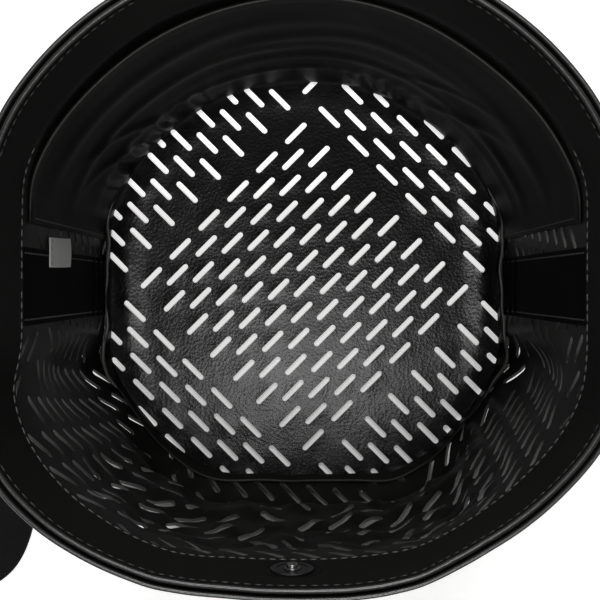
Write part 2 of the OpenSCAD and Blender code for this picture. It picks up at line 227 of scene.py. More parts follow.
def piece(name, points, faces, material, body, replaces=(), crease=40, uv=None,
          edge_material=None, edge_from=0):
    """Makes a mesh from points in millimetres and lets it ride a CAD body."""
    mesh = bpy.data.meshes.new(name)
    mesh.from_pydata([tuple(p) for p in np.asarray(points, float) * MM], [],
                     [tuple(int(i) for i in f) for f in faces])
    mesh.validate()
    mesh.update()
    mesh.shade_smooth()
    if crease:
        mesh.set_sharp_from_angle(angle=math.radians(crease))
    if uv is not None:
        layer = mesh.uv_layers.new(name="cloth")
        loops = np.array([loop.vertex_index for loop in mesh.loops])
        layer.data.foreach_set("uv", np.asarray(uv, np.float32)[loops].ravel())
    mesh.materials.append(material)
    if edge_material:
        mesh.materials.append(edge_material)
        for face in mesh.polygons[edge_from:]:
            face.material_index = 1
    thing = in_scene(name, mesh)
    if body:
        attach(thing, body)
    if replaces:
        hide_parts(*replaces)
    return thing


def lattice_faces(rows, columns, closed_rows=False, closed_columns=False):
    """Quads of a grid of points stored row by row."""
    faces = []
    for i in range(rows if closed_rows else rows - 1):
        for j in range(columns if closed_columns else columns - 1):
            a, b = i * columns, (i + 1) % rows * columns
            c = (j + 1) % columns
            faces.append((a + j, a + c, b + c, b + j))
    return faces


def tube_faces(rows, columns):
    """Quads along a row of closed cross-sections, with a cap at each end."""
    return lattice_faces(rows, columns, closed_columns=True) + [
        tuple(range(columns))[::-1], tuple(range((rows - 1) * columns, rows * columns))]


def closed_sheet(back, front, rows, columns):
    """Joins two grids of points of the same size into a closed sheet."""
    n = rows * columns
    faces = [f[::-1] for f in lattice_faces(rows, columns)]
    faces += [tuple(i + n for i in f[::-1]) for f in faces]
    index = np.arange(n).reshape(rows, columns)
    rim = [*index[0, :-1], *index[:-1, -1], *index[-1, :0:-1], *index[:0:-1, 0]]
    faces += [(a, b, b + n, a + n) for a, b in zip(rim, np.roll(rim, -1))]
    return np.concatenate([back, front]), faces


def slab_profile(h0, h1, z0, z1):
    """The (h, z) cross-section of a band of leather with rounded long edges."""
    round_top, round_foot, spacing = 0.8, 0.6, 5
    middle, half = (h0 + h1) / 2, (h1 - h0) / 2
    up = np.linspace(z0 + round_foot, z1 - round_top, int((z1 - z0) / spacing))

    def edge(z, reach, first):
        return [(middle + half * cos(a), z + reach * sin(a))
                for a in np.linspace(first, first + pi, 7)[1:-1]]
    return ([(h1, z) for z in up] + edge(z1 - round_top, round_top, 0)
            + [(h0, z) for z in up[::-1]] + edge(z0 + round_foot, round_foot, pi))


def strip_section(half, r, middle, n):
    """The (across, h) cross-section of a flat strip of thickness 2r with rolled edges."""
    side = [(half - r + r * cos(a), r * sin(a)) for a in half_turn(n)]
    side += [(y, r) for y in np.linspace(half - r, -half + r, n)[1:-1]]
    return [(s * y, middle + s * h) for s in (1, -1) for y, h in side]


def oval(h, z, rh, rz, n):
    return [(h + rh * cos(a), z + rz * sin(a)) for a in turn(n)]


def closed_ring(name, around, about, point, material, body, replaces, flip=False):
    """A ring; point(a, b) lies at angle a round it and at angle b round its section."""
    points = [point(a, b) for a in turn(around) for b in turn(about)]
    faces = lattice_faces(around, about, closed_rows=True, closed_columns=True)
    piece(name, points, [f[::-1] for f in faces] if flip else faces, material, body, replaces,
          crease=0)


# ------------ perforated panels
def lattice_slots(blocks, inside, shift=(0, 0)):
    """The middle line of every slot of the lattice, shortened where a seam cuts it.

    inside says which points of a slot's middle line are clear of the seams."""
    half = (SLOT_L - SLOT_W) / 2
    share = np.linspace(-1, 1, 57)
    found = []
    for i in range(-blocks, blocks + 1):
        for j in range(-blocks, blocks + 1):
            slant = math.radians(-45 if (i + j) % 2 else 45)
            way = np.array([cos(slant), sin(slant)])
            over = np.array([-way[1], way[0]])
            middle = np.array([i + j, i - j]) * BLOCK_PITCH / sqrt(2) + shift
            for row in range(-BLOCK_ROWS, BLOCK_ROWS + 1):
                odd = row % 2
                for k in range(-2 - odd, 3):
                    centre = middle + (k + odd / 2) * SLOT_PITCH * way + row * ROW_PITCH * over
                    line = centre + np.outer(share * half, way)
                    clear = np.flatnonzero(inside(line))
                    if len(clear) and share[clear[-1]] - share[clear[0]] > 0.25:
                        found.append((*line[clear[0]], *line[clear[-1]]))
    return np.array(found)


def slot_loop(p):
    """The outline of a slot, counter-clockwise; p holds both ends of its middle line."""
    start, end = p[:2], p[2:]
    half = np.linalg.norm(end - start) / 2
    way = (end - start) / (2 * half)
    over = np.array([-way[1], way[0]])
    r = SLOT_W / 2
    side = [(half + r * cos(a), r * sin(a)) for a in half_turn(6)]
    side += [(half / 3, r), (-half / 3, r)]
    return [(start + end) / 2 + s * (x * way + y * over) for s in (1, -1) for x, y in side]


def from_slots(points, slots):
    """Distance of each flat point from the nearest slot's middle line, and that slot."""
    start, way = slots[:, :2], slots[:, 2:] - slots[:, :2]
    nearest = np.full(len(points), 1e9)
    which = np.zeros(len(points), int)
    for i in range(len(slots)):
        k = np.clip(((points - start[i]) @ way[i]) / (way[i] @ way[i]), 0, 1)
        d = np.linalg.norm(points - start[i] - k[:, None] * way[i], axis=1)
        closer = d < nearest
        nearest[closer], which[closer] = d[closer], i
    return nearest, which


def perforated_sheet(edge, slots):
    """Triangulates a flat outline with slots cut out: its points and its triangles."""
    edge, step = np.array(edge), SHEET_STEP
    low, high = edge.min(0), edge.max(0)
    nx, ny = (int((high - low)[i] / step) for i in (0, 1))
    gx, gy = np.meshgrid(np.linspace(low[0], high[0], nx + 1),
                         np.linspace(low[1], high[1], ny + 1))
    stagger = 0.25 * step * (np.arange(gx.size) // (nx + 1) % 2)
    grid = np.stack([gx.ravel() + stagger, gy.ravel()], 1)
    off_edge, off_slot = 0.35 * step, SLOT_W / 2 + 1.1
    inside = np.ones(len(grid), bool)
    for a, b in zip(edge, np.roll(edge, -1, 0)):        # the outline is convex
        along = unit(b - a)
        inside &= (grid - a) @ np.array([-along[1], along[0]]) > off_edge
    grid = grid[inside]
    grid = grid[from_slots(grid, slots)[0] > off_slot]
    points, edges = [], []
    for loop in (edge, *map(slot_loop, slots)):
        first, n = len(points), len(loop)
        points += [Vector(p) for p in loop]
        edges += [(first + i, first + (i + 1) % n) for i in range(n)]
    points += [Vector(p) for p in grid]
    out, _, tris, *_ = delaunay_2d_cdt(points, edges, [], 0, 1e-5)
    flat = np.array([tuple(p) for p in out])
    tris = np.array(tris)
    middle = flat[tris].mean(1)
    tris = tris[from_slots(middle, slots)[0] > SLOT_W / 2]
    return flat, tris


def perforated_piece(name, tris, lay, material, cut_edge):
    """Gives a flat triangulation two faces, and closes it with cut edges at every rim.

    lay(0) places the points of the inner face and lay(1) those of the outer one."""
    inner, outer = lay(0), lay(1)
    n = len(inner)
    faces = [tuple(t[::-1]) for t in tris] + [tuple(t + n) for t in tris]
    sides = dict.fromkeys(side for t in tris for side in zip(t, np.roll(t, -1)))
    faces += [(a, b, b + n, a + n) for a, b in sides if (b, a) not in sides]
    piece(name, np.concatenate([inner, outer]), faces, material, "bag", [name],
          crease=50, edge_material=cut_edge, edge_from=2 * len(tris))


def pucker(flat, slots, lower, upper):
    """How far the lips of each punched slot stand into the bag: its lower and upper edge.

    lower and upper hold one value for each slot."""
    chance = random.Random(11)
    strength = np.array([chance.uniform(0.35, 1) for _ in slots])
    gap, which = from_slots(flat, slots)
    start, end = slots[which, :2], slots[which, 2:]
    way = unit(end - start)
    off = flat - (start + end) / 2
    across = off[:, 1] * way[:, 0] - off[:, 0] * way[:, 1]
    along = (off * way).sum(1)
    reach = 3.5
    near = 1 - smooth(SLOT_W / 2, SLOT_W / 2 + reach, gap)
    middle = 1 - smooth(0.2 * SLOT_L, 0.6 * SLOT_L, np.abs(along))
    lip = np.where(across < 0, lower[which], upper[which])
    return -lip * strength[which] * near * middle


def rectangle(x0, x1, y0, y1):
    """The points of a rectangle's outline, counter-clockwise."""
    nx, ny = int((x1 - x0) / SHEET_STEP), int((y1 - y0) / SHEET_STEP)
    xs, ys = np.linspace(x0, x1, nx + 1), np.linspace(y0, y1, ny + 1)
    return ([(x, y0) for x in xs[:-1]] + [(x1, y) for y in ys[:-1]]
            + [(x, y1) for x in xs[:0:-1]] + [(x0, y) for y in ys[:0:-1]])


def wall_panel(name, middle_u, way, half, material, cut_edge, shift=(0, 0), plain=(0, BAG_H)):
    """A perforated wall from one side seam to the other; shift moves its pattern.

    Within plain[0] of the middle it has no slots over the height plain[1]."""
    off_seam, under_facing, groove = SLOT_W / 2 + 1, 8, 3
    low, high = BASE_T + off_seam - WALL_SLOT_Z, FACING_Z + under_facing - WALL_SLOT_Z

    def inside(q):
        return (np.abs(q[:, 0]) < half - off_seam) & (q[:, 1] > low) & (q[:, 1] < high)
    slots = lattice_slots(2, inside, shift)
    in_plain = ((np.abs(slots[:, [0, 2]]).min(1) < plain[0])
                & (slots[:, [1, 3]].max(1) + WALL_SLOT_Z > plain[1]))
    slots = slots[~in_plain]
    # the edge ends lower than the painted edges beside it, which leaves a dark groove
    edge = rectangle(-half, half, -WALL_SLOT_Z, WALL_TOP - groove - WALL_SLOT_Z)
    flat, tris = perforated_sheet(edge, slots)
    at = (slots[:, :2] + slots[:, 2:]) / 2
    # where the front's foot leans out, the upper lip droops over the slot and closes it
    slack_side, slack_top = 108, 64
    slack = (way > 0) & (np.abs(at[:, 0]) < slack_side) & (at[:, 1] + WALL_SLOT_Z < slack_top)
    lift = pucker(flat, slots, np.where(slack, -0.6, 0.2), np.where(slack, 1.2, 0.3))

    def lay(layer):
        return skin(middle_u + way * flat[:, 0], WALL_SLOT_Z + flat[:, 1], layer * WALL_T + lift)
    if way < 0:
        tris = tris[:, ::-1]
    perforated_piece(name, tris, lay, material, cut_edge)


def base_rise(x, y):
    """The base's swell: it climbs to a soft crest inside its seam, most of all at the sides."""
    to_edge = outline_radius(np.arctan2(y, x)) - np.hypot(x, y)
    crest, floor_z = 13.5, 0.5
    height = 1.3 * bump(y, 0, 62) + 0.4 * smooth(50, 105, y)
    flank = np.where(to_edge > crest, 5.5, 6.5)
    waves = 0.35 * np.sin(x / 31 + 1) * np.cos(y / 27)
    return floor_z + height * bump(to_edge, crest, flank) + waves


def base_sheet(material, cut_edge):
    """The perforated base, cut to the bag's outline."""
    theta = np.linspace(-pi, pi, 181)[:-1]
    edge = [(r * cos(t), r * sin(t)) for r, t in zip(outline_radius(theta), theta)]
    off_seam, lip = SLOT_W / 2 + 0.9, 0.3

    def inside(q):
        return np.hypot(q[:, 0], q[:, 1]) < outline_radius(np.arctan2(q[:, 1], q[:, 0])) - off_seam
    slots = lattice_slots(1, inside)
    flat, tris = perforated_sheet(edge, slots)
    lips = np.full(len(slots), lip)
    lift = pucker(flat, slots, lips, lips)

    def lay(layer):
        z = layer * BASE_T + np.abs(lift) + base_rise(flat[:, 0], flat[:, 1]).clip(0)
        return np.stack([flat[:, 0], flat[:, 1], z], 1)
    perforated_piece("base_panel", tris, lay, material, cut_edge)


# ------------ edges, facings and strips
def skin_band(name, u0, u1, profile, material, replaces=(), step=3):
    """A sewn band with the given (h, z) cross-section, from run u0 to run u1."""
    us = np.linspace(u0, u1, int((u1 - u0) / step))
    skin_ridge(name, us, lambda u: profile, material, replaces)


def skin_ridge(name, us, section, material, replaces=()):
    """A closed form along the skin; section(u) is its (h, z) cross-section there."""
    rows = []
    for u in us:
        hs, zs = np.array(section(u), float).T
        rows += list(skin(u, zs, hs))
    piece(name, rows, tube_faces(len(us), len(hs)), material, "bag", replaces)


def mouth(leather_, edge_paint, thread, shade_painted_thread):
    """Facings inside and bands outside the rim, their painted edges and their seams."""
    bead, top = 0.95, BAG_H - 0.4
    runs = {"front": (FRONT_LEFT_U, RIGHT_U), "back": (RIGHT_U, LEFT_U)}
    for half, (u0, u1) in runs.items():
        ends = (u0 + SEAM_IN, u1 - SEAM_IN)
        for name, h0, h1, z in ((f"{half}_facing", -FACING_T, -GLUE, FACING_Z),
                                (f"{half}_rim_band", WALL_T + GLUE, WALL_T + BAND_T, BAND_Z)):
            skin_band(name, u0, u1, slab_profile(h0, h1, z, top), leather_, [name])
        for where, h in (("inner", -FACING_T / 2), ("outer", WALL_T + BAND_T / 2)):
            skin_band(f"{half}_{where}_edge", u0, u1,
                      oval(h, BAG_H - bead, bead, bead, 10), edge_paint, step=2.5)
        # the rows under the rim and on the band use the thread in painted shade, the facing's
        # lower seam its copy with painted sheen
        stitch_row(f"{half}_facing_upper_stitches",
                   lambda t, h: skin(t, BAG_H - 4.5, -FACING_T - h), *ends, shade_painted_thread,
                   radius=0.36)
        for where, z in (("lower", BAND_Z + 3), ("upper", BAG_H - 5.5)):
            stitch_row(f"{half}_band_{where}_stitches",
                       lambda t, h: skin(t, z, WALL_T + BAND_T + h), *ends, shade_painted_thread)
    # behind the pocket's mouth the facing is glued down, so its seam shows at the ends alone
    seam_l = 62
    for name, u0, u1 in (("front", *runs["front"]), ("back_right", RIGHT_U, RIGHT_U + seam_l),
                         ("back_left", LEFT_U - seam_l, LEFT_U)):
        stitch_row(f"{name}_facing_lower_stitches",
                   lambda t, h: skin(t, FACING_Z + 3, -FACING_T - h),
                   u0 + SEAM_IN, u1 - SEAM_IN, thread, radius=0.5)


def stitch_row(name, place, t0, t1, material, body="bag", pitch=4.3, length=3.3, radius=0.42):
    """Short raised stitches along a line; place(t, h) is the line lifted by h."""
    rings, sides, clear = 5, 6, 0.05
    points, faces = [], []
    for start in np.linspace(t0, t1 - pitch, int((t1 - t0) / pitch)):
        a = place(start, 0)
        up, along = place(start, 1) - a, place(start + length, 0) - a
        side = unit(np.cross(along, up))
        first = len(points)
        for k in np.linspace(0, 1, rings):
            girth = radius * sin(pi * (0.1 + 0.8 * k)) ** 0.6      # thin at both ends
            points += [a + along * k + up * (clear + girth * sin(t))
                       + side * girth * cos(t) for t in turn(sides)]
        faces += [tuple(first + i for i in f) for f in tube_faces(rings, sides)]
    piece(name, points, faces, material, body, crease=0)


def base_binding(leather_, edge_paint, turned_edge):
    """Folded tape over the seam between base and wall, with the raw edges beside it."""
    chance = random.Random(3)
    phases = [chance.uniform(0, 6.3) for _ in range(6)]
    us = np.linspace(0, PERIMETER, 420, endpoint=False)

    def wave(u, i, pitch):
        return np.sin(2 * pi * u / PERIMETER * round(PERIMETER / pitch) + phases[i])

    def layer(name, h, z0, z1, half, wander, i, replaces=()):
        fold = [(half * cos(a), z1 + half * sin(a)) for a in np.linspace(0, pi, 6)]
        across, zs = np.array([(half, z0), *fold, (-half, z0)]).T
        off = wander * (0.6 * wave(us, i, 74) + 0.4 * wave(us, i + 1, 29))
        tall = wander * 0.8 * wave(us, i + 2, 52)
        rows = []
        for u, o, t in zip(us, off, tall):
            low = 3.6 * bump((u + PERIMETER / 2) % PERIMETER - PERIMETER / 2, 0, 90)
            rows += list(skin(u, zs + (t - low) * (zs > z0), h + o + across))
        faces = lattice_faces(len(us), len(zs), closed_rows=True, closed_columns=True)
        piece(name, rows, faces, leather_ if replaces else edge_paint, "bag", replaces)
    layer("base_seam_binding", -1.75, BASE_T, BINDING_TOP - 0.9, 0.85, 0.35, 0,
          ["base_seam_binding"])
    layer("base_seam_raw_edge", -0.55, BASE_T, BINDING_TOP - 2.4, 0.35, 0.2, 1)
    # under the side strips the turned edge stands proud and shows as a pale wavy line, its
    # paleness a painted highlight
    for side, middle in (("right", RIGHT_U), ("left", LEFT_U)):
        def section(u):
            fade = smooth(0, 18, 70 - abs(u - middle))
            off = 0.9 * wave(u, 2, 61) + 0.4 * wave(u, 3, 23)
            return oval(off - 2.1, BINDING_TOP + 0.2, 0.25 + 0.75 * fade, 0.85 * fade, 8)
        skin_ridge(f"{side}_turned_edge", np.linspace(middle - 70, middle + 62, 150), section,
                   turned_edge)


def side_strip(name, middle_u, h0, h1, z0, z1, material):
    """A flat strip over a side seam with rolled long edges; inside it wrinkles at its foot."""
    across, hs = np.array(strip_section(STRIP_W / 2, (h1 - h0) / 2, (h0 + h1) / 2, 7)).T
    zs = np.linspace(z0, z1, 110)
    points = []
    for z in zs:
        wrinkle = 0
        if h0 < 0:
            for at, deep in ((20, 1.2), (30, 1.0), (43, 0.8)):
                wrinkle += deep * bump(z, at + 2.2 * np.sin(across / 7 + at), 2.6)
        points += list(skin(middle_u + across, z, hs - wrinkle))
    piece(name, points, tube_faces(len(zs), len(across)), material, "bag", [name],
          crease=50)


def side_strips(leather_, thread):
    """A strip inside and outside each side seam, each sewn along both its edges."""
    seam = STRIP_W / 2 - 2.6
    for side, u in (("right", RIGHT_U), ("left", LEFT_U)):
        side_strip(f"{side}_inner_strip", u, -INNER_STRIP_T, -GLUE, BINDING_TOP - 2,
                   FACING_Z + 0.5, leather_)
        side_strip(f"{side}_outer_strip", u, WALL_T + GLUE, WALL_T + OUTER_STRIP_T, 0.2,
                   BAND_Z, leather_)
        for letter, way in EDGES:
            stitch_row(f"{side}_inner_strip_stitches_{letter}",
                       lambda t, h: skin(u + way * seam, t, -INNER_STRIP_T - h),
                       BINDING_TOP + 2, FACING_Z - 1, thread)
            stitch_row(f"{side}_outer_strip_stitches_{letter}",
                       lambda t, h: skin(u + way * seam, t, WALL_T + OUTER_STRIP_T + h),
                       4, BAND_Z - 1, thread)


# ------------ the slip pocket
def pocket_slack(u, z):
    """How far the pocket stands in from the wall: a slack mouth, folds and pleats."""
    t = (u - BACK_U) / BODY_R                          # radians to the left of the middle
    ends = 1 - smooth(1.0, 1.32, np.abs(t))
    mouth = (0.5 + 0.5 * np.sin(2.3 * t + 0.4) + 0.3 * np.sin(5.1 * t - 1.0)) * smooth(95, 164, z)
    # soft folds that run round the pocket
    rolls = 0
    for height, rise, wide, deep in ((128, 9, 9, 1.5), (103, -7, 8, 1.2), (84, 12, 7, 1.5),
                                     (64, -10, 6, 1.1), (48, 5, 5, 0.9)):
        line = z - height - rise * t - 5 * np.sin(2.7 * t + height)
        rolls += deep * (0.6 + 0.4 * np.sin(3.1 * t + height / 7)) * bump(line, 0, wide)
    # short pleats drawn in by the base seam, bunched where the light catches them
    pleats = sum(bump(t, at, spread) for at, spread in ((0.68, 0.22), (-0.38, 0.22), (1.0, 0.12)))
    pleats = pleats * 1.7 * np.sin(t * BODY_R * 2 * pi / 11.5 + 0.8 * np.sin(z / 8))
    pleats = pleats * smooth(8, 18, z) * (1 - smooth(28, 60, z))
    # a few slanting creases
    creases = 0
    for at, tall, slope, wide, deep in ((0.86, 70, 1.3, 3.5, 1.6), (0.98, 56, 1.1, 3, 1.3),
                                        (-0.62, 92, -0.9, 3, 1.2), (-0.74, 66, -1.2, 3.5, 1.4)):
        run = (t - at) * BODY_R
        line = (z - tall - slope * run) / math.hypot(1, slope)
        creases += deep * bump(line, 0, wide) * bump(run, 0, 24)
    ease = 0.7 + 1.2 * (1 - smooth(44, 80, z))
    return (np.clip(mouth + rolls + creases, 0, 6) + pleats + ease) * ends


def slip_pocket(material, edge_paint, thread):
    """A slack leather panel on the back wall, open at its top."""
    u0 = run_at(math.degrees(math.asin(POCKET_EDGE / SIDE_X)) - 0.8)
    u1 = 2 * BACK_U - u0
    us, zs = np.linspace(u0, u1, 150), np.linspace(BINDING_TOP - 1, POCKET_TOP, 60)
    gu, gz = (g.ravel() for g in np.meshgrid(us, zs))
    slack = pocket_slack(gu, gz)
    hem = 0.35 * smooth(POCKET_TOP - 5, POCKET_TOP - 4, gz)
    far, near = skin(gu, gz, -slack - 0.05), skin(gu, gz, -slack - POCKET_T - hem)
    points, faces = closed_sheet(far, near, len(zs), len(us))
    piece("slip_pocket_panel", points, faces, material, "bag", ["slip_pocket_panel"],
          crease=55)

    def cord(u):
        r = 0.45 + 0.65 * smooth(0, 14, min(u - u0, u1 - u))
        return oval(-pocket_slack(u, POCKET_TOP) - POCKET_T / 2, POCKET_TOP - 0.4, r, r, 10)
    # the mouth is turned over a cord, whose ridge catches the light; the cord is also drawn paler
    # than the pocket, a painted highlight
    skin_ridge("pocket_mouth_roll", us, cord, edge_paint)
    for name, u in (("right", u0 + 2.2), ("left", u1 - 2.2)):
        stitch_row(f"pocket_{name}_stitches",
                   lambda t, h: skin(u, t, -pocket_slack(u, t) - POCKET_T - h),
                   BINDING_TOP + 2, POCKET_TOP - 5, thread)


# ------------ label and snap
def care_label(material, thread):
    """A doubled satin label, sewn in by its top edge and curling a little."""
    us, vs = np.linspace(0, LABEL_W, 13), np.linspace(0, LABEL_L, 25)
    gu, gv = (g.ravel() for g in np.meshgrid(us, vs))
    tilt = math.radians(LABEL_LEAN)
    curl = 0.4 * (gv / LABEL_L) ** 2 * np.sin(pi * gu / LABEL_W) + 0.25 * np.sin(gv / 5)
    face, near = -SIDE_X + INNER_STRIP_T, STRIP_W / 2 + LABEL_OUT - LABEL_W
    x = face + 0.1 + gv * sin(tilt) + curl
    y = near + gu + 0.6 * (gv / LABEL_L) ** 2
    z = LABEL_TOP - gv * cos(tilt)
    back, front = np.stack([x, y, z], 1), np.stack([x + LABEL_T, y, z], 1)
    points, faces = closed_sheet(back, front, len(vs), len(us))
    piece("care_label", points, faces, material, "bag", ["care_label"],
          crease=60, uv=np.tile(np.stack([gu, gv], 1), (2, 1)))
    stitch_row("care_label_stitches",
               lambda t, h: np.array([face + LABEL_T + 0.3 + h, t, LABEL_TOP - 2.2]),
               near + 0.6, near + LABEL_W, thread, pitch=3, length=2.4, radius=0.3)


def turned(name, profile, centre, axis, material, replaces=()):
    """A body of revolution: (radius, height) points turned round an axis through centre."""
    axis, sides = np.array(axis, float), 48
    side = unit(np.cross(axis, [0, 0, 1]))
    up = np.cross(side, axis)
    points = [np.array(centre) + axis * t + r * (side * cos(a) + up * sin(a))
              for r, t in profile for a in turn(sides)]
    piece(name, points, [f[::-1] for f in tube_faces(len(profile), sides)], material, "bag",
          replaces, crease=35)


def snap(metal, dark_metal, leather_):
    """The stud on the front facing and the magnet opposite, each ringed by pressed leather."""
    r, stud_r, flange, magnet = SNAP_D / 2, STUD_D / 2, STUD_FLANGE_T, MAGNET_T
    place, top = (STUD_SHIFT, FACING_T - FRONT_Y, SNAP_Z), flange + STUD_H
    turned("snap_stud", [
        (r - 0.2, 0), (r, 0.25), (r, flange - 0.35), (r - 0.35, flange), (r - 2.1, flange),
        (r - 2.5, flange - 0.3), (stud_r + 1.4, flange - 0.3), (stud_r + 1.0, flange)],
        place, (0, 1, 0), dark_metal, ["snap_stud"])
    turned("snap_stud_knob", [
        (stud_r + 0.9, flange - 0.35), (stud_r + 0.7, flange + 0.1), (stud_r, flange + 0.3),
        (stud_r, top - 0.5), (stud_r - 0.2, top - 0.15), (stud_r - 0.6, top),
        (0.8, top - 0.15), (0.3, top - 0.3)], place, (0, 1, 0), metal)
    seat = sqrt((BODY_R - FACING_T) ** 2 - r ** 2)
    hole = stud_r + 0.2
    turned("snap_magnet", [
        (r - 0.3, -0.6), (r, -0.4), (r, magnet - 0.6), (r - 0.5, magnet - 0.1),
        (r - 1.2, magnet), (hole + 1.2, magnet), (hole + 0.4, magnet - 0.2),
        (hole, magnet - 0.6), (hole, magnet - STUD_H - 0.1)],
        (0, seat, SNAP_Z), (0, -1, 0), dark_metal, ["snap_magnet"])
    for name, u in (("stud", STUD_SHIFT), ("magnet", BACK_U)):
        def pressed(a, b):
            reach = r + 2.4 + 0.8 * cos(b)
            return skin(u + reach * cos(a), SNAP_Z + reach * sin(a),
                        -FACING_T + 0.15 - 0.45 * sin(b))
        closed_ring(f"snap_{name}_pressed_ring", 72, 8, pressed, leather_, "bag", [])


# ------------ rings, tabs and strap ends
def ribbon(name, path, widths, place, material, body):
    """A leather ribbon: a flat path of (out, up) points with a width at each, edges rounded."""
    path = np.array(path, float)
    way = unit(np.gradient(path, axis=0))
    normal = np.stack([way[:, 1], -way[:, 0]], 1)
    points = []
    for p, n, w in zip(path, normal, widths):
        ring = strip_section(w / 2, LOOP_T / 2 - GLUE, 0, 6)
        points += [place(p[0] + n[0] * h, y, p[1] + n[1] * h) for y, h in ring]
    faces = tube_faces(len(path), len(ring))
    if place(1, 0, 0)[0] < place(0, 0, 0)[0]:
        faces = [f[::-1] for f in faces]
    piece(name, points, faces, material, body, [name], crease=55)


def straight(a, b, step=2):
    """Points from a towards b, without b itself."""
    a, b = np.array(a, float), np.array(b, float)
    n = max(2, int(np.linalg.norm(b - a) / step) + 1)
    return [tuple(a + (b - a) * k) for k in np.linspace(0, 1, n)[:-1]]


def tab_path():
    """Down behind the wire, round under it, out, and back up to the band."""
    bend = [(-LOOP_MID * cos(a), LOOP_BEND - LOOP_MID * sin(a)) for a in np.linspace(0, pi, 15)]
    root = BAG_H - RING_Z - 3
    slant = RING_R + LOOP_R * sqrt(2) + LOOP_T
    near = -LOOP_R + LOOP_T / 2
    return (straight((-LOOP_MID, root), (-LOOP_MID, LOOP_BEND)) + bend
            + straight((LOOP_MID, LOOP_BEND + 0.5), (LOOP_MID, slant - LOOP_R - 0.8))
            + straight((LOOP_MID - 0.3, slant - LOOP_R), (near + 0.3, slant + LOOP_R - 1))
            + straight((near, slant + LOOP_R), (near, root)) + [(near, root)])


def end_path():
    """Up one side of the webbing, over the foot of the ring, and down the other side."""
    lay = (STRAP_T + LOOP_T) / 2
    foot = -SHOULDER_Z - STRAP_END_L
    bend = [(LOOP_MID * cos(a), -LOOP_BEND + LOOP_MID * sin(a)) for a in np.linspace(0, pi, 15)]
    up = (straight((lay, foot), (lay, -SHOULDER_Z)) + straight((lay, -SHOULDER_Z), (lay, -NECK_Z))
          + straight((lay, -NECK_Z), (LOOP_MID, -RING_R)) + [(LOOP_MID, -RING_R)])
    down = [(-x, z) for x, z in up[::-1]]
    return up + bend + down


def lean(up):
    """How far the stiff strap ends stand off the bag at a height over the ring's centre."""
    return STAND_OFF * smooth(30, 48, -up) * (1 - smooth(86, 125, -up))


def strap_hardware(leather_, metal, thread):
    """On each side the ring, its tab and the strap end folded round it, with their seams."""
    foot, lay, wire = -SHOULDER_Z - STRAP_END_L, STRAP_T / 2 + LOOP_T, RING_WIRE / 2
    for side, way in (("left", -1), ("right", 1)):
        def place(out, y, up):
            return (way * (RING_X + out + lean(up)), y, RING_Z + up)

        def wire_skin(a, b):
            r = wire * (1 + 0.07 * bump(math.degrees(a), 200, 1.2))      # thicker at its weld
            reach = RING_R + r * cos(b)
            return way * RING_X + r * sin(b), reach * cos(a), RING_Z + reach * sin(a)

        def stitches(name, at, t0, t1, body="strap", pitch=3.8, length=2.9):
            stitch_row(f"{side}_{name}", lambda t, h: np.array(place(*at(t, h))), t0, t1, thread,
                       body, pitch, length)
        path = tab_path()
        ribbon(f"{side}_ring_tab", path, [LOOP_W] * len(path), place, leather_, "bag")
        path = end_path()
        widths = [np.interp(-z, (NECK_Z, SHOULDER_Z), (LOOP_W, STRAP_W)) for _, z in path]
        ribbon(f"{side}_strap_end", path, widths, place, leather_, "strap")
        closed_ring(f"{side}_ring", 160, 20, wire_skin, metal, "strap", [f"{side}_ring"],
                    flip=True)
        for a, edge in EDGES:
            stitches(f"tab_stitches_{a}",
                     lambda t, h: (-LOOP_R + LOOP_T + h, edge * (LOOP_W / 2 - 2), t),
                     RING_R + 9, BAG_H - RING_Z - 4, "bag", 3.4, 2.6)
            for b, face in EDGES:
                stitches(f"end_stitches_{a}{b}",
                         lambda t, h: (face * (lay + h), edge * (STRAP_W / 2 - 3), t),
                         foot + 3, -SHOULDER_Z - 1)
        for b, face in EDGES:
            for row, up in enumerate((foot + 3, -SHOULDER_Z - 12)):
                stitches(f"end_cross_{row}{b}",
                         lambda y, h: (face * (lay + h), y, up), -STRAP_W / 2 + 4, STRAP_W / 2 - 3)


# ------------ the strap
# Its route is the CAD's: points in shares of the rings' distance from the middle and of the
# height of the strap ends, and the way that its width lies there.
STRAP_LIE = [
    ((-1.047, -0.054, 0.716), (-0.2, 1, 0)), ((-1.148, -0.194, 0.45), (-0.5, 0.8, 0)),
    ((-1.280, -0.404, 0.201), (-0.85, 0.4, 0)), ((-1.389, -0.668, 0.036), (-1, 0.1, 0)),
    ((-1.437, -0.917, 0), (-1, 0, 0)), ((-1.437, -1.088, 0), (-1, 0, 0)),
    ((-1.507, -1.251, 0), (-0.7, 0.7, 0)), ((-1.671, -1.321, 0), (0, 1, 0.05)),
    ((-1.849, -1.329, 0), (0, 1, 0.35)), ((-1.989, -1.375, 0), (0.3, 0.7, 1.2)),
    ((-2.059, -1.507, 0), (0, 0, 1)), ((-1.989, -1.639, 0), (0, 0, 1)),
    ((-1.849, -1.702, 0), (0, -0.7, 1.2)), ((-1.663, -1.717, 0), (0, -1, 0.35)),
    ((-1.437, -1.709, 0), (0, -1, 0)),
    ((-0.932, -1.725, 0), (0, -1, 0)), ((-0.311, -1.756, 0), (0, -1, 0)),
    ((0.311, -1.779, 0), (0, -1, 0)), ((0.901, -1.803, 0), (0.05, -1, 0)),
    ((1.368, -1.725, 0), (0.5, -0.9, 0)), ((1.663, -1.476, 0), (0.9, -0.5, 0)),
    ((1.733, -1.127, 0), (1, -0.1, 0)), ((1.655, -0.761, 0), (1, 0.2, 0)),
    ((1.476, -0.451, 0.142), (0.8, 0.5, 0)), ((1.228, -0.210, 0.450), (0.5, 0.8, 0)),
    ((1.047, -0.054, 0.716), (0.2, 1, 0))]


